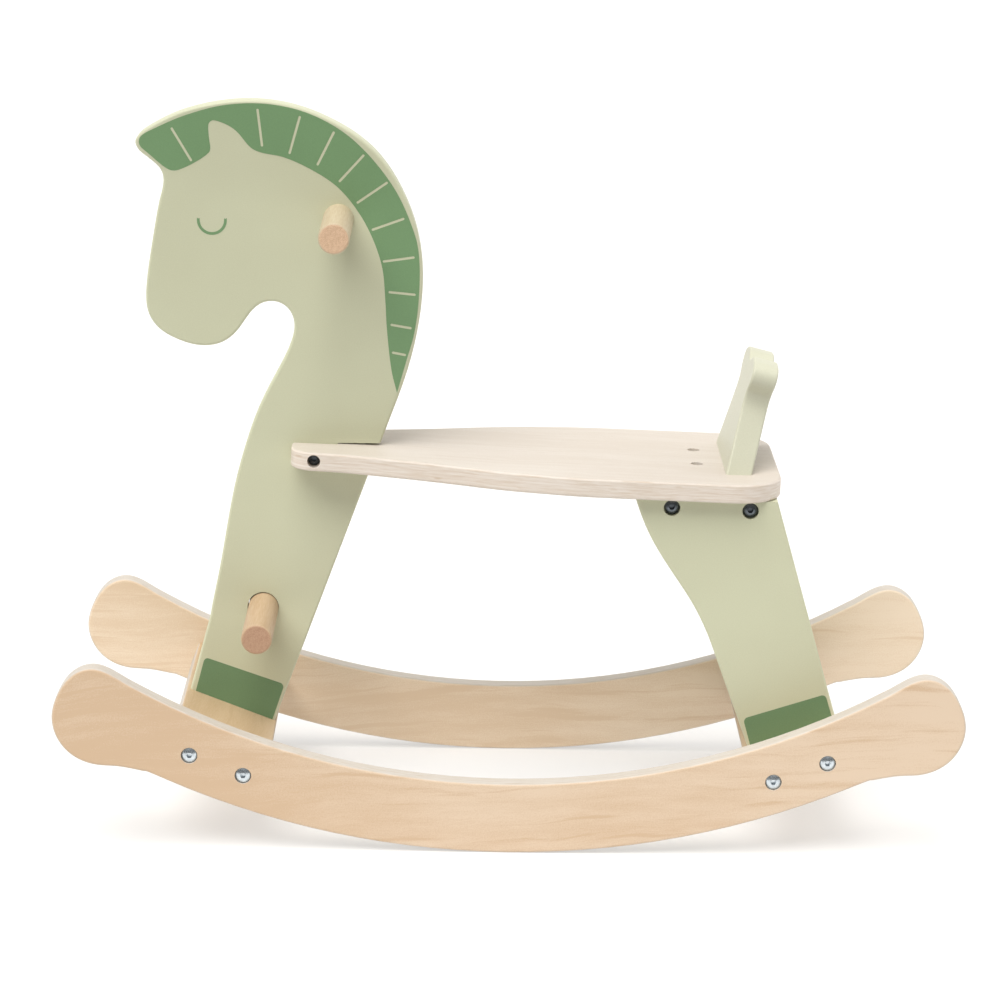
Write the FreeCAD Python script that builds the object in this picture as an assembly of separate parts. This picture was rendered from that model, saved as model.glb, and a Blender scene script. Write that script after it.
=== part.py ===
import FreeCAD, Part
import math
import os
from FreeCAD import Placement, Rotation, Vector

# A toddler's rocking horse in plywood: two curved rockers joined by two crossbars, a flat
# horse-shaped front panel, a seat board lapped into it, two rear legs and a small backrest.
# Millimetres. The horse faces -X, its left side is -Y, and +Z is up. The origin is on the
# floor, midway between the rockers and under their lowest point.

os.makedirs("parts", exist_ok=True)

# ---- driving dimensions -------------------------------------------------------------------
LENGTH = 700.0              # over the rounded ends of a rocker
WIDTH = 276.0               # over the outer faces of the rockers
BOARD = 16.0                # rockers, front panel, legs and seat support
EDGE_ROUNDING = 2.0         # on the long edges of every board

ROCKER_RUN_RADIUS = 650.0   # the arc that rolls on the floor
ROCKER_RUN_REACH = 262.0    # where that arc ends, fore and aft
ROCKER_TOP_RADIUS = 596.0   # the hollow top edge
ROCKER_TOP_REACH = 290.0
ROCKER_WAIST = 55.5         # depth of a rocker at its middle

CROSSBAR_X = 224.3          # centre of a crossbar, fore or aft
CROSSBAR_Z = 67.6
CROSSBAR_TILT = 20.8        # degrees; the outer edge is the high one
CROSSBAR_DEPTH = 77.5
CROSSBAR_THICKNESS = 19.0

SEAT_THICKNESS = 15.0
SEAT_TILT = 1.7             # degrees; the tail end is the low one
SEAT_LAP_X = -137.0         # where the seat's slot and the panel's notch meet
SEAT_LAP_Z = 292.2          # top of the seat there
SEAT_NOSE = 35.8            # reach of the two prongs ahead of the lap
SEAT_TAIL = 346.3           # reach of the seat behind the lap
SEAT_HALF_WIDTH = 91.0
SLOT_CLEARANCE = 0.3        # each side of the panel in the seat's slot

LEG_OUTER_FACE = 79.0       # the rear legs' outer faces, left and right
SUPPORT_FRONT = 241.0       # seat support, measured behind the lap
SUPPORT_BACK = 336.0

BACKREST_THICKNESS = 20.0
BACKREST_BASE = 303.0       # front face at the seat, measured behind the lap
BACKREST_LEAN = 12.5        # degrees back from square to the seat

DOWEL_RADIUS = 12.0
DOWEL_LENGTH = 200.0
DOWEL_END_ROUNDING = 2.0
HANDLE_AT = (-137.2, 470.8)
FOOTREST_AT = (-195.6, 157.4)
FOOTREST_HOLE_RADIUS = 12.45
FOOTREST_PLAY_WAY = (-0.5, 0.866)  # the bar leaves its hole's play open on this side

SHANK_RADIUS = 3.0          # M6 connector bolts
SHANK_CLEARANCE = 0.25
HEAD_RADIUS = 5.85
HEAD_HEIGHT = 4.5
HEAD_DOME = 2.2             # radius of a head's domed face, in head radii
HEAD_PLAY = 0.5             # between a head and its counterbore, all round
SOCKET_WIDTH = 4.0          # hexagon socket, across its flats
SOCKET_FLOOR = 1.2          # metal left under a socket
BOLT_SUNK = 0.2             # rocker bolt heads below the surface
CUT_MARGIN = 5.0            # how far a hole's cutter stands out of the surface
THREAD_REACH = 7.0          # a bolt's length beyond the axis of its barrel nut
BARREL_RADIUS = 5.0
BARREL_LENGTH = 12.0
BOLT_SPACING = 44.0         # the pair of bolts at each end of a crossbar
BARREL_SETBACK = 25.0       # barrel nut behind the end of the board it sits in

half_width = WIDTH / 2
half_board = BOARD / 2
crossbar_top = CROSSBAR_THICKNESS / 2
inner_face = half_width - BOARD
leg_inner_face = LEG_OUTER_FACE - BOARD
leg_middle = LEG_OUTER_FACE - half_board


# ---- drawing helpers ----------------------------------------------------------------------
def upright(x, z):
    """A point of the XZ drawing plane."""
    return Vector(x, 0, z)


def level(x, y):
    """A point of the XY drawing plane."""
    return Vector(x, y, 0)


def line(start, end):
    return Part.LineSegment(start, end).toShape()


def arc(start, through, end):
    return Part.Arc(start, through, end).toShape()


def curve(points, start_way, end_way):
    """A smooth curve through the points, leaving and arriving along the two directions."""
    spline = Part.BSplineCurve()
    spline.interpolate(Points=points, InitialTangent=start_way, FinalTangent=end_way)
    return spline.toShape()


def arc_about(centre, radius, first, last):
    """An arc of the XZ plane about a centre, between two angles in degrees."""
    spots = []
    for angle in (first, (first + last) / 2, last):
        turn = math.radians(angle)
        reach = Vector(radius * math.cos(turn), 0, radius * math.sin(turn))
        spots.append(centre + reach)
    return arc(*spots)


def filled(edges):
    return Part.Face(Part.Wire(Part.__sortEdges__(edges)))


def board(edges, y_low, thickness):
    """A board with the outline drawn in the XZ plane, from y_low up to y_low + thickness."""
    solid = filled(edges).extrude(Vector(0, thickness, 0))
    solid.translate(Vector(0, y_low, 0))
    return solid


def softened(solid, radius, normal, sharp=()):
    """Round the outline of both flat faces of a board that is square to the normal.

    An edge stays sharp when its middle is within reach of a point in sharp."""
    picked = []
    for edge in solid.Edges:
        middle = edge.valueAt((edge.FirstParameter + edge.LastParameter) / 2)
        start = edge.Vertexes[0].Point
        end = edge.Vertexes[-1].Point
        flat = abs((start - end).dot(normal)) < 1e-6 and abs((start - middle).dot(normal)) < 1e-6
        near = [spot for spot, reach in sharp if across(middle - spot, normal) < reach]
        if flat and not near:
            picked.append(edge)
    return solid.makeFillet(radius, picked)


def across(offset, normal):
    """Length of an offset within the plane that is square to the normal."""
    return (offset - normal * offset.dot(normal)).Length


def mirrored(shape):
    """The same shape on the other side of the horse."""
    return shape.mirror(Vector(0, 0, 0), Vector(0, 1, 0))


def without(solid, tools):
    return solid.cut(tools).removeSplitter()


def aimed(shape, foot, direction):
    """Place a piece drawn along +Z so that it starts at foot and points along direction."""
    placed = shape.copy()
    placed.Placement = Placement(foot, Rotation(Vector(0, 0, 1), direction)).multiply(shape.Placement)
    return placed


def save(name, *solids):
    shape = solids[0] if len(solids) == 1 else Part.makeCompound(list(solids))
    shape.exportStep("parts/" + name + ".step")
    print(name, "solids", len(shape.Solids), "valid", shape.isValid(), "mm3", round(shape.Volume))


# ---- the two tilted frames: crossbars and seat -----------------------------------------------
def crossbar_frame(end):
    """Frame of a crossbar, end -1 fore and +1 aft: X along its depth, Z up through it."""
    tilt = Rotation(Vector(0, 1, 0), -end * CROSSBAR_TILT)
    return Placement(Vector(end * CROSSBAR_X, 0, CROSSBAR_Z), tilt)


seat_frame = Placement(Vector(SEAT_LAP_X, 0, SEAT_LAP_Z), Rotation(Vector(0, 1, 0), SEAT_TILT))
crossbar_up = {end: crossbar_frame(end).Rotation.multVec(Vector(0, 0, 1)) for end in (-1, 1)}
seat_up = seat_frame.Rotation.multVec(Vector(0, 0, 1))


def on_crossbar(end, x, y, z):
    return crossbar_frame(end).multVec(Vector(x, y, z))


def on_seat(x, y, z):
    return seat_frame.multVec(Vector(x, y, z))


def under_seat(x):
    """The point of the seat's underside straight above or below x, in the XZ plane."""
    tilt = math.radians(SEAT_TILT)
    drop = (x - SEAT_LAP_X) * math.tan(tilt) + SEAT_THICKNESS / math.cos(tilt)
    return upright(x, SEAT_LAP_Z - drop)


# ---- fasteners, each drawn along +Z with its outer face at the origin -----------------------
def hexagon(across_flats, low, height):
    reach = across_flats / math.sqrt(3)
    corners = [Vector(reach * math.cos(k * math.pi / 3), reach * math.sin(k * math.pi / 3), low)
               for k in range(7)]
    return Part.Face(Part.makePolygon(corners)).extrude(Vector(0, 0, height))


def domed_head(radius, height):
    """A round head with a domed outer face and a hexagon socket."""
    dome = Part.makeSphere(HEAD_DOME * radius, Vector(0, 0, HEAD_DOME * radius))
    head = Part.makeCylinder(radius, height).common(dome)
    rims = [edge for edge in head.Edges if edge.Closed and edge.BoundBox.ZMax < height / 2]
    head = head.makeFillet(0.3, rims)
    return head.cut(hexagon(SOCKET_WIDTH, -1, height + 1 - SOCKET_FLOOR))


def connector_bolt(shank_length, head_radius=HEAD_RADIUS):
    shank = Part.makeCylinder(SHANK_RADIUS, shank_length, Vector(0, 0, HEAD_HEIGHT))
    tip = [edge for edge in shank.Edges if edge.Closed and edge.BoundBox.ZMin > HEAD_HEIGHT + 1]
    return domed_head(head_radius, HEAD_HEIGHT).fuse(shank.makeChamfer(0.8, tip)).removeSplitter()


def head_hole(head_radius, height, sunk):
    """The counterbore of a head that lies that far below the surface."""
    low = -sunk - CUT_MARGIN
    return Part.makeCylinder(head_radius + HEAD_PLAY, height - low, Vector(0, 0, low))


def bolt_hole(shank_length, sunk, head_radius=HEAD_RADIUS):
    """The counterbore and the clearance hole of a connector bolt."""
    bore = Part.makeCylinder(SHANK_RADIUS + SHANK_CLEARANCE, shank_length + 1, Vector(0, 0, HEAD_HEIGHT))
    return head_hole(head_radius, HEAD_HEIGHT, sunk).fuse(bore)


def barrel_hole(depth):
    """The blind hole of a barrel nut, from the surface inwards."""
    return Part.makeCylinder(BARREL_RADIUS, depth + CUT_MARGIN, Vector(0, 0, -CUT_MARGIN))


def barrel_nut():
    """A slotted barrel nut whose threaded cross hole lies along Y, halfway up."""
    slot_width = 1.4
    slot_depth = 1.6
    length = 4 * BARREL_RADIUS
    body = Part.makeCylinder(BARREL_RADIUS, BARREL_LENGTH)
    thread = Part.makeCylinder(SHANK_RADIUS, length, Vector(0, -length / 2, BARREL_LENGTH / 2),
                               Vector(0, 1, 0))
    slot = Part.makeBox(slot_width, length, slot_depth, Vector(-slot_width / 2, -length / 2, 0))
    return body.cut([thread, slot])


def fitted_nut(foot, direction, depth):
    """A barrel nut at the bottom of a blind hole of that depth."""
    return aimed(barrel_nut(), foot + direction * (depth - BARREL_LENGTH), direction)


def screw_body(length):
    """A countersunk wood screw without its driving recess, which is also the hole it cuts."""
    head_radius = 4.6
    head_height = 3.0
    core_radius = 2.4
    point = 5.0
    head = Part.makeCone(head_radius, core_radius, head_height)
    core = Part.makeCylinder(core_radius, length - head_height - point, Vector(0, 0, head_height))
    tip = Part.makeCone(core_radius, 0.4, point, Vector(0, 0, length - point))
    return head.fuse([core, tip]).removeSplitter()


def wood_screw(length):
    recess = Part.makeCone(2.0, 0.6, 2.2)
    return screw_body(length).cut(recess)


# ---- rockers --------------------------------------------------------------------------------
# Round the aft end of a rocker: over the crown, down its tip and under the heel.
PADDLE = [(304, 139.2), (319, 143.8), (334, 138.2), (345, 123.4), (LENGTH / 2, 104), (344.5, 85),
          (332, 72.4), (316, 66.7), (298, 65.4), (280, 62.1)]


def rocker_outline():
    run_centre = upright(0, ROCKER_RUN_RADIUS)
    top_centre = upright(0, ROCKER_WAIST + ROCKER_TOP_RADIUS)
    run_reach = math.degrees(math.acos(ROCKER_RUN_REACH / ROCKER_RUN_RADIUS))
    top_reach = math.degrees(math.acos(ROCKER_TOP_REACH / ROCKER_TOP_RADIUS))
    run = arc_about(run_centre, ROCKER_RUN_RADIUS, run_reach - 180, -run_reach)
    top = arc_about(top_centre, ROCKER_TOP_RADIUS, top_reach - 180, -top_reach)
    edges = [run, top]
    for side in (-1, 1):
        run_end = run.Vertexes[0 if side < 0 else -1].Point
        top_end = top.Vertexes[0 if side < 0 else -1].Point
        spots = [top_end] + [upright(side * x, z) for x, z in PADDLE] + [run_end]
        # Square to each arc's radius, so that the end joins both arcs without a corner.
        top_way = Vector(side * (top_centre.z - top_end.z), 0, ROCKER_TOP_REACH)
        run_way = Vector(-side * (run_centre.z - run_end.z), 0, -ROCKER_RUN_REACH)
        edges.append(curve(spots, top_way, run_way))
    return edges


rocker_grip = BOARD - HEAD_HEIGHT
rocker_shank = rocker_grip + BARREL_SETBACK + THREAD_REACH


def rocker_bolt_feet(end, side):
    """Where the two bolts of one crossbar end start, on the rocker's outer face."""
    face = side * (half_width - BOLT_SUNK)
    return [on_crossbar(end, shift * BOLT_SPACING / 2, face, 0) for shift in (-1, 1)]


def rocker_bolt_holes(side):
    return [aimed(bolt_hole(rocker_shank, BOLT_SUNK), foot, Vector(0, -side, 0))
            for end in (-1, 1) for foot in rocker_bolt_feet(end, side)]


blank = softened(board(rocker_outline(), inner_face, BOARD), EDGE_ROUNDING, Vector(0, 1, 0))
save("left_rocker", without(mirrored(blank), rocker_bolt_holes(-1)))
save("right_rocker", without(blank, rocker_bolt_holes(1)))


# ---- crossbars --------------------------------------------------------------------------------
PANEL_SCREWS_AT = (-20.0, 22.0)   # along the depth of the front crossbar
LEG_SCREWS_AT = (-20.0, 20.0)     # along the depth of the rear crossbar
FOOT_SCREW_LENGTH = 50.0
nut_depth = crossbar_top + BARREL_LENGTH / 2


def foot_screw_feet(end):
    """Where the screws that hold the panel or the legs start, on a crossbar's underside."""
    if end < 0:
        return [on_crossbar(end, x, 0, -crossbar_top) for x in PANEL_SCREWS_AT]
    return [on_crossbar(end, x, y, -crossbar_top) for y in (-leg_middle, leg_middle) for x in LEG_SCREWS_AT]


def foot_screw_holes(end):
    return [aimed(screw_body(FOOT_SCREW_LENGTH), foot, crossbar_up[end]) for foot in foot_screw_feet(end)]


def crossbar_nut_feet(end):
    reach = inner_face - BARREL_SETBACK
    return [on_crossbar(end, x, y, -crossbar_top)
            for y in (-reach, reach) for x in (-BOLT_SPACING / 2, BOLT_SPACING / 2)]


def crossbar(end):
    bar = Part.makeBox(CROSSBAR_DEPTH, 2 * inner_face, CROSSBAR_THICKNESS,
                       Vector(-CROSSBAR_DEPTH / 2, -inner_face, -crossbar_top))
    long_edges = [edge for edge in bar.Edges if edge.Length > 2 * inner_face - 1]
    bar = bar.makeFillet(EDGE_ROUNDING, long_edges)
    bar.Placement = crossbar_frame(end)
    holes = [aimed(barrel_hole(nut_depth), foot, crossbar_up[end]) for foot in crossbar_nut_feet(end)]
    for side in (-1, 1):
        holes += [aimed(bolt_hole(rocker_shank, BOLT_SUNK), foot, Vector(0, -side, 0))
                  for foot in rocker_bolt_feet(end, side)]
    return without(bar, holes + foot_screw_holes(end))


for end, place in ((-1, "front"), (1, "rear")):
    save(place + "_crossbar", crossbar(end))
    nuts = [fitted_nut(foot, crossbar_up[end], nut_depth) for foot in crossbar_nut_feet(end)]
    save(place + "_crossbar_barrel_nuts", *nuts)
    for side, hand in ((-1, "left"), (1, "right")):
        bolts = [aimed(connector_bolt(rocker_shank), foot, Vector(0, -side, 0))
                 for foot in rocker_bolt_feet(end, side)]
        save(place + "_" + hand + "_rocker_bolts", *bolts)


# ---- horse panel ------------------------------------------------------------------------------
REAR_EDGE_WAY = Vector(-1, 0, -2.739)     # the straight back edge, below the mane
REAR_EDGE_AT_LAP = -103.7                 # its X at the height of the seat's top
SHOULDER_RISE = 0.9                       # the shoulder's back end above the lap's top
SHOULDER_GAP = 0.7                        # the shoulder clears the seat by this at the lap
FOOT_FRONT = -35.5                        # ends of the panel's foot along the crossbar
FOOT_BACK = 36.5

# Up the crest of the neck from the back edge, over the poll and forward to the forelock.
CREST = [(-96.5, 312), (-85, 344.3), (-75, 384.3), (-71.3, 420), (-75.3, 460), (-88.3, 494.5),
         (-110, 525.2), (-140, 546), (-172, 558.3), (-205, 562.4), (-238, 558.8), (-270, 548.2),
         (-283, 541)]
# Round the forelock's tip and back to the brow.
FORELOCK = [(-291.3, 534.8), (-294.2, 529.2), (-291.7, 522.8), (-286, 517.8), (-279.4, 512.6),
            (-274.5, 507)]
# Down the nose, round the muzzle and the throat, and down the chest to the foot.
FRONT = [(-272.8, 499), (-275.1, 487), (-280, 462), (-284.1, 437), (-286.9, 412), (-285.5, 396),
         (-279.3, 385), (-263, 374.3), (-242, 369.4), (-226.3, 373), (-214.6, 383.4),
         (-205.5, 396.4), (-196.5, 403.8), (-185.5, 405), (-176.5, 400), (-171.6, 389.5),
         (-173, 376), (-180.6, 357.3), (-190.7, 338), (-199.8, 318.6), (-210, 289.4),
         (-217.7, 260.1), (-223.4, 230.7), (-229.8, 193), (-236.9, 157), (-245.7, 121)]


def rear_edge(z):
    return upright(REAR_EDGE_AT_LAP + (z - SEAT_LAP_Z) / -REAR_EDGE_WAY.z, z)


def panel_outline():
    outline = [upright(x, z) for x, z in CREST + FORELOCK + FRONT]
    shoulder = rear_edge(SEAT_LAP_Z + SHOULDER_RISE)
    lap_top = on_seat(0, 0, SHOULDER_GAP)
    lap_low = on_seat(0, 0, -SEAT_THICKNESS)
    tilt = math.tan(math.radians(SEAT_TILT))
    mouth_z = SEAT_LAP_Z - SEAT_THICKNESS - (REAR_EDGE_AT_LAP - SEAT_LAP_X) * tilt
    mouth_low = under_seat(rear_edge(mouth_z).x)
    foot_front = on_crossbar(-1, FOOT_FRONT, 0, crossbar_top)
    foot_back = on_crossbar(-1, FOOT_BACK, 0, crossbar_top)
    return [
        curve(outline, REAR_EDGE_WAY * -1, foot_front - outline[-1]),
        line(outline[0], shoulder),
        line(shoulder, lap_top),
        line(lap_top, lap_low),
        line(lap_low, mouth_low),
        line(mouth_low, foot_back),
        line(foot_back, foot_front),
        line(foot_front, outline[-1]),
    ]


CLAMP_AT = (-17.2, -7.0)                  # the bolt through both prongs, in the seat's frame
CLAMP_HEAD_RADIUS = 4.6
CLAMP_HEAD_REACH = 35.0                   # outer faces of its two heads from the middle plane
CLAMP_SHANK = 48.0
SLEEVE_RADIUS = 4.2
SLEEVE_LENGTH = 22.0

left_clamp = on_seat(CLAMP_AT[0], -CLAMP_HEAD_REACH, CLAMP_AT[1])
right_clamp = on_seat(CLAMP_AT[0], CLAMP_HEAD_REACH, CLAMP_AT[1])


def clamp_sleeve():
    """The outer form of the clamp nut: a domed head on a sleeve."""
    sleeve = Part.makeCylinder(SLEEVE_RADIUS, SLEEVE_LENGTH, Vector(0, 0, HEAD_HEIGHT))
    return domed_head(CLAMP_HEAD_RADIUS, HEAD_HEIGHT).fuse(sleeve).removeSplitter()


def clamp_holes():
    sleeve = Part.makeCylinder(SLEEVE_RADIUS, SLEEVE_LENGTH, Vector(0, 0, HEAD_HEIGHT))
    mouth = head_hole(CLAMP_HEAD_RADIUS, HEAD_HEIGHT, CUT_MARGIN)
    return [aimed(bolt_hole(CLAMP_SHANK, CUT_MARGIN, CLAMP_HEAD_RADIUS), left_clamp, Vector(0, 1, 0)),
            aimed(sleeve, right_clamp, Vector(0, -1, 0)),
            aimed(mouth, right_clamp, Vector(0, -1, 0))]


def dowel(at, radius=DOWEL_RADIUS, length=DOWEL_LENGTH):
    return Part.makeCylinder(radius, length, Vector(at[0], -length / 2, at[1]), Vector(0, 1, 0))


play = FOOTREST_HOLE_RADIUS - DOWEL_RADIUS
footrest_hole = dowel([at + play * way for at, way in zip(FOOTREST_AT, FOOTREST_PLAY_WAY)],
                      FOOTREST_HOLE_RADIUS)
sharp_spots = [(rear_edge(SEAT_LAP_Z) * 0.5 + upright(SEAT_LAP_X, SEAT_LAP_Z) * 0.5, 8.0),
               (on_seat(0, 0, -SEAT_THICKNESS / 2), 8.0),
               (on_seat(14, 0, -SEAT_THICKNESS), 8.0),
               (on_crossbar(-1, (FOOT_FRONT + FOOT_BACK) / 2, 0, crossbar_top), 5.0)]
panel = softened(board(panel_outline(), -half_board, BOARD), EDGE_ROUNDING, Vector(0, 1, 0), sharp_spots)
save("horse_panel", without(panel, [dowel(HANDLE_AT), footrest_hole] + clamp_holes() + foot_screw_holes(-1)))
save("panel_foot_screws", *[aimed(wood_screw(FOOT_SCREW_LENGTH), foot, crossbar_up[-1])
                            for foot in foot_screw_feet(-1)])

clamp_bolt = connector_bolt(CLAMP_SHANK, CLAMP_HEAD_RADIUS)
save("seat_clamp_bolt", aimed(clamp_bolt, left_clamp, Vector(0, 1, 0)))
save("seat_clamp_nut", aimed(clamp_sleeve(), right_clamp, Vector(0, -1, 0)).cut(
    Part.makeCylinder(SHANK_RADIUS, HEAD_HEIGHT + CLAMP_SHANK, left_clamp, Vector(0, 1, 0))))

for name, at in (("handle_bar", HANDLE_AT), ("footrest_bar", FOOTREST_AT)):
    bar = dowel(at)
    ends = [edge for edge in bar.Edges if edge.Closed]
    save(name, bar.makeFillet(DOWEL_END_ROUNDING, ends))


# ---- seat ---------------------------------------------------------------------------------------
PRONG_WIDTH_AT_NOSE = 43.0
PRONG_CORNER = 20.0
PRONG_INNER_CORNER = 3.0
TAIL_CORNER = 39.0
# Half outline between the prong and the full width, in the seat's frame.
FLARE = [(PRONG_CORNER - SEAT_NOSE, PRONG_WIDTH_AT_NOSE), (12, 46.3), (37, 52.2), (62, 58.6),
         (87, 66.2), (112, 74.4), (137, 81.5), (174, 88), (217, SEAT_HALF_WIDTH)]
SEAT_SCREW_AT = (282.5, 24.0)
SEAT_SCREW_HEAD_RADIUS = 4.3
SEAT_SCREW_HEAD_HEIGHT = 3.4
SEAT_SCREW_SUNK = 2.5
SEAT_SCREW_SHANK = 22.0
SEAT_SCREW_POINT = 3.0
BACKREST_SCREW_AT = (316.0, 32.0)
BACKREST_SCREW_LENGTH = 36.0


def corner(centre_x, centre_y, radius, first):
    """A quarter circle of the XY plane that turns counter-clockwise from an angle in degrees."""
    spots = [Vector(centre_x + radius * math.cos(math.radians(angle)),
                    centre_y + radius * math.sin(math.radians(angle)), 0)
             for angle in (first, first + 45, first + 90)]
    return arc(*spots)


def seat_outline():
    slot = half_board + SLOT_CLEARANCE
    flare = [level(x, y) for x, y in FLARE]
    tail_x = SEAT_TAIL - TAIL_CORNER
    tail_y = SEAT_HALF_WIDTH - TAIL_CORNER
    inner_x = PRONG_INNER_CORNER - SEAT_NOSE
    half = [
        line(level(0, slot), level(inner_x, slot)),
        corner(inner_x, slot + PRONG_INNER_CORNER, PRONG_INNER_CORNER, 180),
        line(level(-SEAT_NOSE, slot + PRONG_INNER_CORNER),
             level(-SEAT_NOSE, PRONG_WIDTH_AT_NOSE - PRONG_CORNER)),
        corner(PRONG_CORNER - SEAT_NOSE, PRONG_WIDTH_AT_NOSE - PRONG_CORNER, PRONG_CORNER, 90),
        curve(flare, Vector(1, 0.05, 0), Vector(1, 0.02, 0)),
        line(flare[-1], level(tail_x, SEAT_HALF_WIDTH)),
        corner(tail_x, tail_y, TAIL_CORNER, 0),
    ]
    ends = [line(level(0, -slot), level(0, slot)),
            line(level(SEAT_TAIL, -tail_y), level(SEAT_TAIL, tail_y))]
    return half + [mirrored(edge) for edge in half] + ends


def seat_screw_feet():
    return [on_seat(SEAT_SCREW_AT[0], side * SEAT_SCREW_AT[1], -SEAT_SCREW_SUNK) for side in (-1, 1)]


def seat_screw_shank():
    """The shank of a seat screw, which fills the hole it cuts."""
    length = SEAT_SCREW_SHANK - SEAT_SCREW_POINT
    core = Part.makeCylinder(SHANK_RADIUS, length, Vector(0, 0, SEAT_SCREW_HEAD_HEIGHT))
    return core.fuse(Part.makeCone(SHANK_RADIUS, 1.2, SEAT_SCREW_POINT,
                                   Vector(0, 0, SEAT_SCREW_HEAD_HEIGHT + length)))


def seat_screw():
    head = domed_head(SEAT_SCREW_HEAD_RADIUS, SEAT_SCREW_HEAD_HEIGHT)
    return head.fuse(seat_screw_shank()).removeSplitter()


def seat_screw_hole():
    mouth = head_hole(SEAT_SCREW_HEAD_RADIUS, SEAT_SCREW_HEAD_HEIGHT, SEAT_SCREW_SUNK)
    return mouth.fuse(seat_screw_shank())


def backrest_screws(make):
    return [aimed(make(BACKREST_SCREW_LENGTH),
                  on_seat(BACKREST_SCREW_AT[0], side * BACKREST_SCREW_AT[1], -SEAT_THICKNESS), seat_up)
            for side in (-1, 1)]


seat = filled(seat_outline()).extrude(Vector(0, 0, -SEAT_THICKNESS))
seat = softened(seat, EDGE_ROUNDING, Vector(0, 0, 1), [(level(0, 0), 2.0)])
seat.Placement = seat_frame
seat_screw_holes = [aimed(seat_screw_hole(), foot, seat_up * -1) for foot in seat_screw_feet()]
save("seat", without(seat, clamp_holes() + seat_screw_holes + backrest_screws(screw_body)))
save("seat_screws", *[aimed(seat_screw(), foot, seat_up * -1) for foot in seat_screw_feet()])
save("backrest_screws", *backrest_screws(wood_screw))


# ---- rear legs and the seat support between them --------------------------------------------------
LEG_TOP_FRONT = 94.7
LEG_TOP_BACK = 205.2
LEG_FOOT_FRONT = -33.5          # ends of a leg's foot along the crossbar
LEG_FOOT_BACK = 38.6
# The front edge of a leg, from under the seat to where it runs straight to the foot.
LEG_FRONT = [(99.5, 256.3), (108, 237.3), (119.4, 218.2), (132.2, 199.3), (144.2, 180.1),
             (153.3, 161.5), (160.5, 143)]
LEG_BOLTS_AT = (261.3, 322.0)   # behind the lap, in the middle of the support's thickness
LEG_BOLT_SUNK = 2.0

leg_shank = BOARD - LEG_BOLT_SUNK - HEAD_HEIGHT + BARREL_SETBACK + THREAD_REACH
support_nut_depth = half_board + BARREL_LENGTH / 2
support_middle = -SEAT_THICKNESS - half_board


def leg_outline():
    top_front = under_seat(LEG_TOP_FRONT)
    top_back = under_seat(LEG_TOP_BACK)
    foot_front = on_crossbar(1, LEG_FOOT_FRONT, 0, crossbar_top)
    foot_back = on_crossbar(1, LEG_FOOT_BACK, 0, crossbar_top)
    front = [top_front] + [upright(x, z) for x, z in LEG_FRONT]
    return [
        curve(front, Vector(0.3, 0, -1), foot_front - front[-1]),
        line(front[-1], foot_front),
        line(foot_front, foot_back),
        line(foot_back, top_back),
        line(top_back, top_front),
    ]


def leg_bolt_feet(side):
    return [on_seat(x, side * (LEG_OUTER_FACE - LEG_BOLT_SUNK), support_middle) for x in LEG_BOLTS_AT]


def leg_bolt_holes(side):
    return [aimed(bolt_hole(leg_shank, LEG_BOLT_SUNK), foot, Vector(0, -side, 0))
            for foot in leg_bolt_feet(side)]


def support_nut_feet(side):
    reach = side * (leg_inner_face - BARREL_SETBACK)
    return [on_seat(x, reach, -SEAT_THICKNESS - BOARD) for x in LEG_BOLTS_AT]


leg_foot_middle = on_crossbar(1, (LEG_FOOT_FRONT + LEG_FOOT_BACK) / 2, 0, crossbar_top)
leg_top_middle = under_seat((LEG_TOP_FRONT + LEG_TOP_BACK) / 2)
leg_blank = softened(board(leg_outline(), leg_inner_face, BOARD), EDGE_ROUNDING, Vector(0, 1, 0),
                     [(leg_foot_middle, 5.0), (leg_top_middle, 5.0)])

support = Part.makeBox(SUPPORT_BACK - SUPPORT_FRONT, 2 * leg_inner_face, BOARD,
                       Vector(SUPPORT_FRONT, -leg_inner_face, -SEAT_THICKNESS - BOARD))
support.Placement = seat_frame
support_holes = list(seat_screw_holes)

for side, hand in ((-1, "left"), (1, "right")):
    leg = leg_blank if side > 0 else mirrored(leg_blank)
    save(hand + "_rear_leg", without(leg, leg_bolt_holes(side) + foot_screw_holes(1)))
    save(hand + "_leg_bolts", *[aimed(connector_bolt(leg_shank), foot, Vector(0, -side, 0))
                                for foot in leg_bolt_feet(side)])
    screws = [aimed(wood_screw(FOOT_SCREW_LENGTH), foot, crossbar_up[1])
              for foot in foot_screw_feet(1) if foot.y * side > 0]
    save(hand + "_leg_foot_screws", *screws)
    nut_feet = support_nut_feet(side)
    nuts = [fitted_nut(foot, seat_up, support_nut_depth) for foot in nut_feet]
    save(hand + "_support_barrel_nuts", *nuts)
    support_holes += leg_bolt_holes(side)
    support_holes += [aimed(barrel_hole(support_nut_depth), foot, seat_up) for foot in nut_feet]

save("seat_support", without(support, support_holes))


# ---- backrest ---------------------------------------------------------------------------------------
# Half outline up its own face: a foot that tapers to a waist, then a rounded head with two lobes.
BACKREST_BASE_HALF = 58.0
BACKREST_TAPER = [(BACKREST_BASE_HALF, 0), (51.5, 14), (45, 27.5), (39.5, 40), (35.4, 50), (33.6, 58),
                  (34.8, 64), (39, 69.3), (42, 75.5), (40.3, 82), (34, 86.2), (24, 87.8),
                  (13.5, 87.6), (6.5, 85), (0, 83)]
BACKREST_SKIRT = 12.0           # drawn below the seat's top, then cut off flush with it
BACKREST_SKIRT_HALF = 62.0
BACKREST_ROUNDING = 1.8


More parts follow.
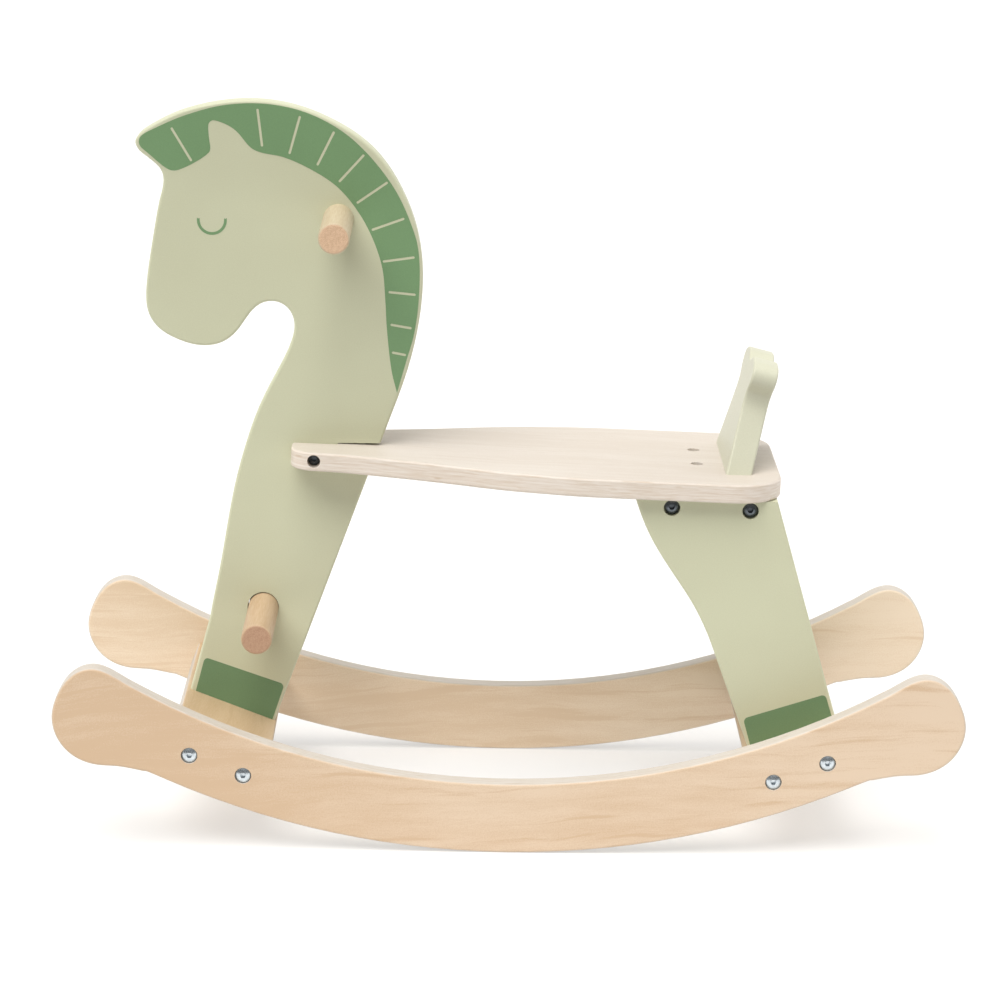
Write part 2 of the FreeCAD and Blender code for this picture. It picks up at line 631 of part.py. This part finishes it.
def backrest():
    half = [Vector(0, y, s) for y, s in BACKREST_TAPER]
    side = curve(half, Vector(0, -0.4, 1), Vector(0, -1, 0))
    edges = [side, mirrored(side)]
    skirt = [Vector(0, hand * BACKREST_SKIRT_HALF, -BACKREST_SKIRT) for hand in (-1, 1)]
    for hand, low in zip((-1, 1), skirt):
        edges.append(line(Vector(0, hand * BACKREST_BASE_HALF, 0), low))
    edges.append(line(*skirt))
    plate = filled(edges).extrude(Vector(BACKREST_THICKNESS, 0, 0))
    skirt_middle = Vector(0, 0, -BACKREST_SKIRT)
    plate = softened(plate, BACKREST_ROUNDING, Vector(1, 0, 0), [(skirt_middle, 5.0)])
    plate.Placement = seat_frame.multiply(
        Placement(Vector(BACKREST_BASE, 0, 0), Rotation(Vector(0, 1, 0), BACKREST_LEAN)))
    below = Part.makeBox(100, WIDTH, 50, Vector(BACKREST_BASE - 40, -half_width, -50))
    below.Placement = seat_frame
    return without(plate, [below] + backrest_screws(screw_body))


save("backrest", backrest())
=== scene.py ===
import math

import bpy
from mathutils import Matrix, Vector


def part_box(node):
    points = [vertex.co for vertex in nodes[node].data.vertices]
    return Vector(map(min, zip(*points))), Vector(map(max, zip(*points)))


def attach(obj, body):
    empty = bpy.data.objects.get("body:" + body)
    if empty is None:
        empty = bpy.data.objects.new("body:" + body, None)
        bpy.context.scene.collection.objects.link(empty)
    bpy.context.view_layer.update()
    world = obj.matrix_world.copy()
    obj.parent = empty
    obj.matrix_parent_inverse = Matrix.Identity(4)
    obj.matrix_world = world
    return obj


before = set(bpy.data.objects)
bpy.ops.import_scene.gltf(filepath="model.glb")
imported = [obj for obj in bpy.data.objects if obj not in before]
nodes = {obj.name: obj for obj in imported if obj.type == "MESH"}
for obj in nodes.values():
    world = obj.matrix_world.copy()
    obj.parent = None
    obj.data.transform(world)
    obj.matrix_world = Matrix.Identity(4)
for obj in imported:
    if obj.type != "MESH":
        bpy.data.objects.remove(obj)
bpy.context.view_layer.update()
scene = bpy.context.scene

# The model is in metres; shapes are given in millimetres and scaled by MM.
MM = 0.001
BOARD = 16.0
SEAT_THICKNESS = 15.0
SEAT_TILT = math.radians(1.7)
SEAT_LAP = Vector((-137.0, 0, 292.2)) * MM
CROSSBAR_X = 224.3
CROSSBAR_Z = 67.6
CROSSBAR_TILT = math.radians(20.8)
CROSSBAR_THICKNESS = 19.0
ROCKER_MIDDLE = 130.0
LEG_FACE = 79.0
X_AXIS = Vector((1, 0, 0))
Y_AXIS = Vector((0, 1, 0))
Z_AXIS = Vector((0, 0, 1))


# ---- camera and light -----------------------------------------------------------------------
CAMERA_PLACE = (-0.03321, -2.69543, 0.91233)
CAMERA_YAW = 0.526
CAMERA_PITCH = 13.877
CAMERA_ROLL = 0.898
SENSOR_WIDTH = 36
FOCAL_LENGTH = 126
SUN_AZIMUTH = 234.0
SUN_ELEVATION = 62.0
SUN_SPREAD = 50.0
SUN_STRENGTH = 3.2
FILL_AZIMUTH = 15.0
FILL_ELEVATION = 48.0
FILL_SPREAD = 60.0
FILL_STRENGTH = 0.6
FRONT_WALL = 0.18
BACK_WALL = 1.0
SKY_LEFT = 0.32
SKY_RIGHT = 0.66
UNDER_HORIZON = 0.04
BACKDROP = 1.2              # what the camera sees behind the model
SUN_COLOUR = (1.0, 0.985, 0.965)


def place_camera():
    yaw, pitch, roll = (math.radians(angle) for angle in (CAMERA_YAW, CAMERA_PITCH, CAMERA_ROLL))
    ahead = Vector((math.sin(yaw) * math.cos(pitch), math.cos(yaw) * math.cos(pitch), -math.sin(pitch)))
    flat_right = Vector((math.cos(yaw), -math.sin(yaw), 0))
    flat_up = flat_right.cross(ahead)
    right = flat_right * math.cos(roll) + flat_up * math.sin(roll)
    up = flat_up * math.cos(roll) - flat_right * math.sin(roll)
    data = bpy.data.cameras.new("camera")
    data.sensor_width = SENSOR_WIDTH
    data.lens = FOCAL_LENGTH
    camera = bpy.data.objects.new("camera", data)
    scene.collection.objects.link(camera)
    turn = Matrix((right, up, -ahead)).transposed().to_4x4()
    camera.matrix_world = Matrix.Translation(CAMERA_PLACE) @ turn
    scene.camera = camera


def sunlight(name, azimuth, elevation, spread, strength):
    """An even, very soft light from far off; azimuth turns from +X towards +Y."""
    turn = math.radians(azimuth)
    rise = math.radians(elevation)
    source = Vector((math.cos(turn) * math.cos(rise), math.sin(turn) * math.cos(rise), math.sin(rise)))
    data = bpy.data.lights.new(name, "SUN")
    data.angle = math.radians(spread)
    data.energy = strength
    data.color = SUN_COLOUR
    lamp = bpy.data.objects.new(name, data)
    lamp.location = source * 3
    lamp.rotation_mode = "QUATERNION"
    lamp.rotation_quaternion = (-source).to_track_quat("-Z", "Y")
    scene.collection.objects.link(lamp)


def add_node(tree, kind, inputs=None, **settings):
    """A new node; an input that is a socket is linked, and any other is set."""
    node = tree.nodes.new(kind)
    for key, value in settings.items():
        setattr(node, key, value)
    for key, value in (inputs or {}).items():
        if isinstance(value, bpy.types.NodeSocket):
            tree.links.new(value, node.inputs[key])
        else:
            node.inputs[key].default_value = value
    return node


def light_world():
    """White to the camera; to the model, a room that is dim in front and brighter behind and above."""
    world = bpy.data.worlds.new("studio")
    scene.world = world
    world.use_nodes = True
    tree = world.node_tree
    tree.nodes.clear()

    def add(kind, inputs=None, **settings):
        return add_node(tree, kind, inputs, **settings)

    def span(value, low, high, new_low, new_high):
        inputs = {0: value, 1: low, 2: high, 3: new_low, 4: new_high}
        return add("ShaderNodeMapRange", inputs, clamp=True).outputs[0]

    def blend(share, first, second):
        return add("ShaderNodeMix", {0: share, 2: first, 3: second}, data_type="FLOAT").outputs[0]

    way = add("ShaderNodeTexCoord").outputs["Generated"]
    parts = add("ShaderNodeSeparateXYZ", {0: way})
    x, y, z = parts.outputs[0], parts.outputs[1], parts.outputs[2]
    walls = span(y, -0.5, 0.6, FRONT_WALL, BACK_WALL)
    sky = span(x, -1.0, 1.0, SKY_LEFT, SKY_RIGHT)
    upper = blend(span(z, 0.25, 0.6, 0.0, 1.0), walls, sky)
    strength = blend(span(z, -0.03, 0.03, 0.0, 1.0), UNDER_HORIZON, upper)
    glow = add("ShaderNodeBackground", {"Color": (1.0, 0.995, 0.985, 1), "Strength": strength})
    seen = add("ShaderNodeBackground", {"Color": (1, 1, 1, 1), "Strength": BACKDROP})
    rays = add("ShaderNodeLightPath")
    either = add("ShaderNodeMixShader", {0: rays.outputs["Is Camera Ray"], 1: glow.outputs[0],
                                         2: seen.outputs[0]})
    add("ShaderNodeOutputWorld", {"Surface": either.outputs[0]})


# ---- shader graphs --------------------------------------------------------------------------
def linear(rgb):
    """An 8-bit screen colour as the linear colour a shader wants."""
    out = []
    for value in rgb:
        share = value / 255
        out.append(share / 12.92 if share <= 0.04045 else ((share + 0.055) / 1.055) ** 2.4)
    return (*out, 1.0)


class Graph:
    """A material's node graph, built up call by call. Places are object coordinates in metres."""

    def __init__(self, name):
        self.material = bpy.data.materials.new(name)
        self.material.use_nodes = True
        self.tree = self.material.node_tree
        self.tree.nodes.clear()
        coordinates = self.add("ShaderNodeTexCoord")
        self.place = coordinates.outputs["Object"]
        self.facing = coordinates.outputs["Normal"]

    def add(self, kind, inputs=None, **settings):
        return add_node(self.tree, kind, inputs, **settings)

    def math(self, operation, *values):
        return self.add("ShaderNodeMath", dict(enumerate(values)), operation=operation).outputs[0]

    def plus(self, first, second):
        return self.math("ADD", first, second)

    def times(self, first, second):
        return self.math("MULTIPLY", first, second)

    def minus(self, first, second):
        return self.math("SUBTRACT", first, second)

    def along(self, vector, direction):
        node = self.add("ShaderNodeVectorMath", {0: vector, 1: tuple(direction)}, operation="DOT_PRODUCT")
        return node.outputs["Value"]

    def join(self, x, y, z):
        return self.add("ShaderNodeCombineXYZ", {0: x, 1: y, 2: z}).outputs[0]

    def stretched(self, x, y, scales, z):
        """A place for a noise, with x and y in features per metre."""
        return self.join(self.times(x, scales[0]), self.times(y, scales[1]), z)

    def noise(self, vector, scale=1.0, detail=2.0, roughness=0.5):
        inputs = {"Vector": vector, "Scale": scale, "Detail": detail, "Roughness": roughness}
        return self.add("ShaderNodeTexNoise", inputs).outputs["Fac"]

    def mix(self, share, first, second):
        return self.add("ShaderNodeMix", {0: share, 6: first, 7: second}, data_type="RGBA").outputs[2]

    def span(self, value, low, high, new_low=0.0, new_high=1.0):
        inputs = {0: value, 1: low, 2: high, 3: new_low, 4: new_high}
        return self.add("ShaderNodeMapRange", inputs, clamp=True).outputs[0]

    def bump(self, height, strength, distance):
        inputs = {"Height": height, "Strength": strength, "Distance": distance}
        return self.add("ShaderNodeBump", inputs).outputs[0]

    def finish(self, **inputs):
        named = {key.replace("_", " "): value for key, value in inputs.items()}
        shader = self.add("ShaderNodeBsdfPrincipled", named)
        out = self.add("ShaderNodeOutputMaterial")
        self.tree.links.new(shader.outputs[0], out.inputs["Surface"])
        return self.material


# Features per metre of each layer of the veneer's figure: along the grain, then across it.
SWAY = (7.0, 9.0)
BANDS = (13.0, 120.0)
CLOUDS = (5.0, 16.0)
FIBRES = (90.0, 1100.0)
FLECKS = (9.0, 170.0)
# The same for the edges, in both directions of the board.
EDGE_DRIFT = (30.0, 30.0)
EDGE_STAINS = (40.0, 40.0)
EDGE_STREAKS = 60.0


def plywood(name, middle, grain, normal, thickness, plies, faces, edges, seed=0.0, fade=0.0):
    """Clear-lacquered plywood: veneer figure on its faces, faint plies on its edges.

    faces and edges are each a light and a dark colour; fade makes the faces lighter along the
    grain. The look is a function of place, so the plies run right through the board."""
    g = Graph(name)
    across_way = Vector(normal).cross(Vector(grain))
    offset = g.add("ShaderNodeVectorMath", {0: g.place, 1: tuple(middle)}, operation="SUBTRACT").outputs[0]
    run = g.along(offset, grain)
    cross = g.along(offset, across_way)
    depth = g.along(offset, normal)

    # Wavy, slightly slanting bands of figure, broad clouds, fibres, a fine speckle and rare flecks.
    sway = g.noise(g.stretched(run, cross, SWAY, seed))
    bent = g.plus(g.plus(cross, g.times(run, 0.05)), g.times(sway, 0.03))
    bands = g.noise(g.stretched(run, bent, BANDS, seed))
    clouds = g.noise(g.stretched(run, cross, CLOUDS, seed))
    fibres = g.noise(g.stretched(run, bent, FIBRES, depth), detail=3.0, roughness=0.6)
    speckle = g.noise(g.place, scale=950.0, detail=1.0)
    flecks = g.noise(g.stretched(run, bent, FLECKS, g.plus(seed, 5.0)), detail=3.0)
    tone = g.plus(g.times(bands, 0.4), g.times(clouds, 0.6))
    tone = g.plus(tone, g.times(g.minus(fibres, 0.5), 0.24))
    tone = g.plus(tone, g.times(g.minus(speckle, 0.5), 0.4))
    tone = g.plus(tone, g.span(flecks, 0.57, 0.7, 0.0, 0.26))
    tone = g.minus(tone, g.times(run, fade))
    face = g.mix(g.span(tone, 0.34, 0.66), *faces)

    # Edges: plies a little darker in turn, broken up by fine wavy streaks and rare stains.
    layer = g.math("DIVIDE", g.plus(depth, thickness * MM / 2), thickness * MM / plies)
    drift = g.noise(g.stretched(run, cross, EDGE_DRIFT, seed))
    wave = g.math("SINE", g.times(g.plus(layer, g.times(drift, 2.0)), math.pi))
    along_edge = g.plus(g.times(run, EDGE_STREAKS), g.times(cross, EDGE_STREAKS))
    streaks = g.noise(g.join(along_edge, g.times(depth, 900.0), drift), detail=3.0, roughness=0.65)
    stain = g.noise(g.stretched(run, cross, EDGE_STAINS, g.times(depth, 260.0)), detail=1.0)
    lines = g.plus(g.span(wave, -1.0, 1.0, 0.0, 0.22), g.span(streaks, 0.4, 0.68, 0.0, 0.6))
    lines = g.plus(lines, g.span(stain, 0.7, 0.8, 0.0, 1.0))
    edge = g.mix(g.math("MINIMUM", lines, 1.0), *edges)
    on_edge = g.span(g.math("ABSOLUTE", g.along(g.facing, normal)), 0.5, 0.95, 1.0, 0.0)
    colour = g.mix(on_edge, face, edge)

    height = g.plus(g.times(fibres, 0.6), g.times(speckle, 0.4))
    rough = g.span(fibres, 0.3, 0.7, 0.42, 0.54)
    return g.finish(Base_Color=colour, Roughness=rough, Specular_IOR_Level=0.36,
                    Normal=g.bump(height, 0.1, 0.00015))


def dowel_wood(name, centre, side_light, side_dark, end_light, end_dark, seed):
    """Round beech stock along Y: fine fibres on its side, a mottled speckle on its ends."""
    g = Graph(name)
    offset = g.add("ShaderNodeVectorMath", {0: g.place, 1: tuple(centre)}, operation="SUBTRACT").outputs[0]
    x = g.along(offset, X_AXIS)
    y = g.along(offset, Y_AXIS)
    z = g.along(offset, Z_AXIS)
    broad = g.noise(g.stretched(x, y, (130.0, 9.0), g.plus(g.times(z, 130.0), seed)))
    fibres = g.noise(g.stretched(x, y, (1100.0, 55.0), g.times(z, 1100.0)), detail=3.0, roughness=0.6)
    pores = g.noise(g.stretched(x, y, (1300.0, 160.0), g.plus(g.times(z, 1300.0), seed)))
    tone = g.plus(g.times(broad, 0.5), g.times(fibres, 0.5))
    side = g.mix(g.span(tone, 0.36, 0.64), side_light, side_dark)
    mottle = g.noise(g.join(g.times(x, 420.0), y, g.times(z, 300.0)))
    speckle = g.plus(g.times(pores, 0.6), g.times(mottle, 0.4))
    end = g.mix(g.span(speckle, 0.38, 0.62), end_light, end_dark)
    on_end = g.span(g.math("ABSOLUTE", g.along(g.facing, Y_AXIS)), 0.75, 0.98)
    colour = g.mix(on_end, side, end)
    return g.finish(Base_Color=colour, Roughness=g.span(fibres, 0.3, 0.7, 0.46, 0.6),
                    Specular_IOR_Level=0.34, Normal=g.bump(g.plus(fibres, pores), 0.12, 0.0002))


def paint(name, colour, shade, rough=0.38):
    """Satin paint on plywood: a very faint cloud and a fine stipple."""
    g = Graph(name)
    cloud = g.noise(g.place, scale=14.0)
    stipple = g.noise(g.place, scale=1000.0, roughness=0.6)
    tone = g.plus(g.times(cloud, 0.4), g.times(stipple, 0.6))
    base = g.mix(g.span(tone, 0.38, 0.62), colour, shade)
    return g.finish(Base_Color=base, Roughness=g.span(stipple, 0.3, 0.7, rough - 0.04, rough + 0.06),
                    Specular_IOR_Level=0.42, Normal=g.bump(stipple, 0.1, 0.00014))


def zinc(name, base, rough):
    """Plated steel, bright or dark by its base colour, with a faint cloud and fine grain; the dark copy is
    painted shade.
    """
    g = Graph(name)
    cloud = g.noise(g.place, scale=420.0, detail=3.0)
    fine = g.noise(g.place, scale=3200.0)
    shade = tuple(value * 0.82 for value in base)
    colour = g.mix(g.span(cloud, 0.35, 0.65), (*shade, 1.0), (*base, 1.0))
    return g.finish(Base_Color=colour, Metallic=1.0, Roughness=g.span(fine, 0.3, 0.7, rough, rough + 0.12),
                    Normal=g.bump(fine, 0.06, 0.00008))


def wear(material, names):
    for name in names:
        data = nodes[name].data
        data.materials.clear()
        data.materials.append(material)


# ---- finishes of the boards ---------------------------------------------------------------------
def finish_boards():
    left_faces = linear((222, 200, 175)), linear((208, 180, 149))
    # The right rocker's faces are paler than the left's: partly a paler veneer, partly painted light that
    # makes up for the floor light the left rocker keeps from the right rocker's inner face.
    right_faces = linear((238, 220, 196)), linear((225, 201, 172))
    pale_edges = linear((202, 196, 188)), linear((189, 176, 158))
    for name, hand, faces in (("left_rocker", -1, left_faces), ("right_rocker", 1, right_faces)):
        wear(plywood(name + "_plywood", Y_AXIS * hand * ROCKER_MIDDLE * MM, X_AXIS, Y_AXIS, BOARD, 9,
                     faces, pale_edges, seed=3.7 + hand, fade=0.35), [name])
    bar_faces = linear((204, 180, 147)), linear((191, 165, 130))
    for name, end in (("front_crossbar", -1), ("rear_crossbar", 1)):
        up = Vector((-end * math.sin(CROSSBAR_TILT), 0, math.cos(CROSSBAR_TILT)))
        middle = Vector((end * CROSSBAR_X, 0, CROSSBAR_Z)) * MM
        wear(plywood(name + "_plywood", middle, Y_AXIS, up, CROSSBAR_THICKNESS, 11, bar_faces, pale_edges,
                     seed=9.1 + end), [name])
    up = Vector((math.sin(SEAT_TILT), 0, math.cos(SEAT_TILT)))
    back = Vector((math.cos(SEAT_TILT), 0, -math.sin(SEAT_TILT)))
    middle = SEAT_LAP - up * SEAT_THICKNESS * MM / 2
    seat_faces = linear((208, 200, 190)), linear((200, 190, 178))
    seat_edges = linear((229, 220, 210)), linear((206, 188, 168))
    wear(plywood("seat_plywood", middle, back, up, SEAT_THICKNESS, 11, seat_faces, seat_edges, seed=21.3),
         ["seat"])
    wear(plywood("support_plywood", middle - up * (SEAT_THICKNESS + BOARD) * MM / 2, Y_AXIS, up, BOARD, 9,
                 bar_faces, pale_edges, seed=5.5), ["seat_support"])
    sage = paint("sage_paint", linear((206, 208, 179)), linear((202, 203, 174)))
    wear(sage, ["horse_panel", "left_rear_leg", "right_rear_leg"])
    wear(paint("backrest_paint", linear((204, 204, 183)), linear((199, 199, 177))), ["backrest"])
    handle_colours = (203, 189, 161), (192, 173, 142), (230, 198, 166), (208, 172, 140)
    footrest_colours = (196, 171, 140), (185, 156, 123), (191, 156, 128), (173, 134, 108)
    for name, seed, colours in (("handle_bar", 1.0, handle_colours), ("footrest_bar", 6.0, footrest_colours)):
        low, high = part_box(name)
        beech = dowel_wood(name + "_beech", (low + high) / 2, *[linear(rgb) for rgb in colours], seed)
        wear(beech, [name])
    steel = [name for name in nodes if name.endswith(("bolts", "nuts", "screws", "bolt", "nut"))]
    # Painted shade: the leg bolts, clamp bolt and seat screws sit in shade under the seat and deep in their
    # holes, so they wear a near-black copy of the zinc.
    painted_shade_steel = [name for name in steel if name.endswith(("leg_bolts", "clamp_bolt", "seat_screws"))]
    wear(zinc("zinc_plate", (0.70, 0.77, 0.82), 0.18), [name for name in steel if name not in painted_shade_steel])
    wear(zinc("zinc_painted_shade", (0.16, 0.18, 0.20), 0.26), painted_shade_steel)


# ---- painted markings -----------------------------------------------------------------------------
PAINT_FILM = 0.12 * MM
QUARTER_PULL = 0.5523       # a Bezier handle's length for a quarter circle, as a share of its radius


def smooth_loop(points, corners=()):
    """A closed Bezier loop through the points, with sharp handles at the listed indices."""
    handles = []
    count = len(points)
    for k, (x, z) in enumerate(points):
        before = Vector(points[k - 1])
        here = Vector((x, z))
        after = Vector(points[(k + 1) % count])
        if k in corners:
            handles.append((here.lerp(before, 1 / 3), here, here.lerp(after, 1 / 3)))
            continue
        way = (after - before).normalized()
        back = way * (here - before).length / 3
        ahead = way * (after - here).length / 3
        handles.append((here - back, here, here + ahead))
    return handles


def capsule(start, end, width):
    """A round-ended stroke as a loop of Bezier handles."""
    a = Vector(start)
    b = Vector(end)
    way = (b - a).normalized()
    side = Vector((-way.y, way.x))
    radius = width / 2
    pull = radius * QUARTER_PULL
    loop = []
    for tip, turn in ((b, 1), (a, -1)):
        ahead = way * turn
        left = side * (radius * turn)
        loop.append((tip + left - ahead * radius, tip + left, tip + left + ahead * pull))
        loop.append((tip + ahead * radius + left.normalized() * pull, tip + ahead * radius,
                     tip + ahead * radius - left.normalized() * pull))
        loop.append((tip - left + ahead * pull, tip - left, tip - left - ahead * radius))
    return loop


def marking(name, loops, face_y, material):
    """A film of paint on a board's flat face: the first loop is its edge, any others are gaps in it."""
    curve = bpy.data.curves.new(name, "CURVE")
    curve.dimensions = "2D"
    curve.fill_mode = "BOTH"
    curve.extrude = PAINT_FILM / 2
    curve.resolution_u = 10
    for loop in loops:
        spline = curve.splines.new("BEZIER")
        spline.bezier_points.add(len(loop) - 1)
        spline.use_cyclic_u = True
        for point, (before, here, after) in zip(spline.bezier_points, loop):
            point.handle_left = (*(before * MM), 0)
            point.co = (*(here * MM), 0)
            point.handle_right = (*(after * MM), 0)
    drawn = bpy.data.objects.new(name + "_drawn", curve)
    scene.collection.objects.link(drawn)
    bpy.context.view_layer.update()
    mesh = bpy.data.meshes.new_from_object(drawn.evaluated_get(bpy.context.evaluated_depsgraph_get()))
    bpy.data.objects.remove(drawn)
    outward = 1 if face_y > 0 else -1
    # The loops are drawn in X and Y; they stand up as X and Z on the face.
    upright = Matrix(((1, 0, 0, 0), (0, 0, -1, face_y * MM + outward * PAINT_FILM / 2), (0, 1, 0, 0),
                      (0, 0, 0, 1)))
    mesh.transform(upright)
    mesh.materials.clear()
    mesh.materials.append(material)
    piece = bpy.data.objects.new(name, mesh)
    scene.collection.objects.link(piece)
    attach(piece, "root")
    return piece


# The mane in X and Z: from the forelock's tip along its lower edge, round the ear and down the
# neck to the point, then back up along the crest. MANE_TIP is the point's place in the list.
MANE = [(-291.3, 529.4), (-290.1, 525.5), (-283.9, 520), (-272.9, 510.7), (-266.7, 507.3), (-260, 508),
        (-246.1, 515), (-237.4, 521.5), (-236.3, 525), (-237.1, 531.8), (-237.8, 542), (-236.5, 545.2),
        (-233.4, 546.5), (-222.4, 542.7), (-215.4, 537.6), (-205.2, 525.9), (-197.3, 522.1),
        (-180, 518.7), (-159.5, 509.9), (-138.9, 496.7), (-123.1, 478.6), (-111.1, 457.2), (-103, 433.2),
        (-100.4, 407.4), (-99, 384.8), (-95.2, 352.3), (-90.7, 333.9), (-83.3, 360.6), (-77.9, 380.2),
        (-74.6, 404.6), (-74, 436.8), (-77.8, 459.3), (-94.7, 496.5), (-124.9, 531.8), (-156.4, 551.1),
        (-189.4, 559.3), (-223.9, 558.5), (-255.4, 550.1), (-282.1, 538.2), (-289.5, 533.6)]
MANE_TIP = 26
# Each bare stroke in the mane, from the crest inwards.
MANE_STROKES = [((-265.9, 539.6), (-251.3, 515.4)), ((-199.8, 554.9), (-196.4, 527.6)),
                ((-167.4, 549.8), (-175.1, 522.1)), ((-141.2, 538.2), (-153.4, 513.5)),
                ((-118.2, 520.8), (-136.3, 500.7)), ((-100, 499.8), (-122.3, 484.2)),
                ((-87, 471.8), (-110.5, 463.1)), ((-78.8, 441.6), (-101.7, 438.2)),
                ((-77.7, 412.3), (-97, 414)), ((-80.6, 385.7), (-95.3, 388.1)), ((-84.8, 364.3), (-94, 366))]
STROKE_WIDTH = 1.9
EYE = (-235.3, 468.8)
EYE_RADIUS = 10.5
EYE_STROKE = 2.2
EYE_STEPS = 4
BAND_CLEARANCE = 0.15       # between a painted band and the crossbar's top
BAND_ROUNDING = 3.5
CORNER_PULL = 0.55
FRONT_BAND_TOP = [(-242.5, 115.8), (-178.9, 94)]
FRONT_BAND_FOOT = (34.6, -31.0)
REAR_BAND_TOP = [(183.7, 92.4), (247.3, 113.1)]
REAR_BAND_FOOT = (36.2, -31.5)


def eye_loop():
    """A half ring that opens upwards, with round ends."""
    centre = Vector(EYE)
    outer = EYE_RADIUS + EYE_STROKE / 2
    inner = EYE_RADIUS - EYE_STROKE / 2
    cap = EYE_STROKE / 2
    pull = Vector((cap * QUARTER_PULL, 0))

    def spot(radius, angle, turn):
        out = Vector((math.cos(angle), math.sin(angle)))
        way = Vector((-out.y, out.x)) * turn
        reach = radius * 4 / 3 * math.tan(math.pi / EYE_STEPS / 4)
        here = centre + out * radius
        return here - way * reach, here, here + way * reach

    def round_end(side):
        tip = centre + Vector((side * EYE_RADIUS, cap))
        return tip + pull, tip, tip - pull

    swept = [math.pi * k / EYE_STEPS for k in range(EYE_STEPS + 1)]
    under = [spot(outer, math.pi + angle, 1) for angle in swept]
    over = [spot(inner, 2 * math.pi - angle, -1) for angle in swept]
    return under + [round_end(1)] + over + [round_end(-1)]


def rounded_band(corners, radius):
    """A four-sided band whose first two corners, the upper ones, are rounded."""
    loop = []
    count = len(corners)
    for k, corner in enumerate(corners):
        here = Vector(corner)
        before = Vector(corners[k - 1]) - here
        after = Vector(corners[(k + 1) % count]) - here
        if k < 2:
            first = here + before.normalized() * radius
            last = here + after.normalized() * radius
            loop.append((first + before.normalized() * radius, first, first.lerp(here, CORNER_PULL)))
            loop.append((last.lerp(here, CORNER_PULL), last, last + after.normalized() * radius))
        else:
            loop.append((here + before / 3, here, here + after / 3))
    return loop


def on_crossbar_top(end, along):
    """A point of a crossbar's top face, just above it, by its distance from the crossbar's middle."""
    rise = CROSSBAR_THICKNESS / 2 + BAND_CLEARANCE
    return (end * CROSSBAR_X + along * math.cos(CROSSBAR_TILT) - end * rise * math.sin(CROSSBAR_TILT),
            CROSSBAR_Z + end * along * math.sin(CROSSBAR_TILT) + rise * math.cos(CROSSBAR_TILT))


def add_markings():
    green = paint("mane_paint", linear((123, 157, 114)), linear((118, 151, 109)), rough=0.4)
    band_green = paint("band_paint", linear((112, 143, 106)), linear((107, 137, 101)), rough=0.4)
    half = BOARD / 2
    strokes = [capsule(start, end, STROKE_WIDTH) for start, end in MANE_STROKES]
    front_band = FRONT_BAND_TOP + [on_crossbar_top(-1, along) for along in FRONT_BAND_FOOT]
    rear_band = REAR_BAND_TOP + [on_crossbar_top(1, along) for along in REAR_BAND_FOOT]
    for side, hand in ((-1, "left"), (1, "right")):
        marking("mane_" + hand, [smooth_loop(MANE, (MANE_TIP,))] + strokes, side * half, green)
        marking("eye_" + hand, [eye_loop()], side * half, green)
        marking("foot_band_" + hand, [rounded_band(front_band, BAND_ROUNDING)], side * half, band_green)
        marking("leg_band_" + hand, [rounded_band(rear_band, BAND_ROUNDING)], side * LEG_FACE, band_green)


# ---- floor ------------------------------------------------------------------------------------------
FLOOR_REACH = 12.0
FLOOR_FRONT = -1.2          # the floor ends here, so what faces the camera reflects a dim room
FLOOR_GLOW = 0.45           # keeps the shadows faint, as they are on a lit sweep


def lay_floor():
    g = Graph("floor_white")
    grain = g.noise(g.place, scale=3.0)
    tone = g.mix(grain, (0.50, 0.495, 0.485, 1.0), (0.52, 0.515, 0.505, 1.0))
    material = g.finish(Base_Color=tone, Roughness=0.9, Specular_IOR_Level=0.1,
                        Emission_Color=(1.0, 0.995, 0.99, 1.0), Emission_Strength=FLOOR_GLOW)
    mesh = bpy.data.meshes.new("floor")
    corners = [(-FLOOR_REACH, FLOOR_FRONT, 0), (FLOOR_REACH, FLOOR_FRONT, 0),
               (FLOOR_REACH, FLOOR_REACH, 0), (-FLOOR_REACH, FLOOR_REACH, 0)]
    mesh.from_pydata(corners, [], [(0, 1, 2, 3)])
    mesh.materials.append(material)
    floor = bpy.data.objects.new("floor", mesh)
    scene.collection.objects.link(floor)


scene.view_settings.view_transform = "Standard"
place_camera()
light_world()
sunlight("softbox", SUN_AZIMUTH, SUN_ELEVATION, SUN_SPREAD, SUN_STRENGTH)
sunlight("fill", FILL_AZIMUTH, FILL_ELEVATION, FILL_SPREAD, FILL_STRENGTH)
lay_floor()
finish_boards()
add_markings()
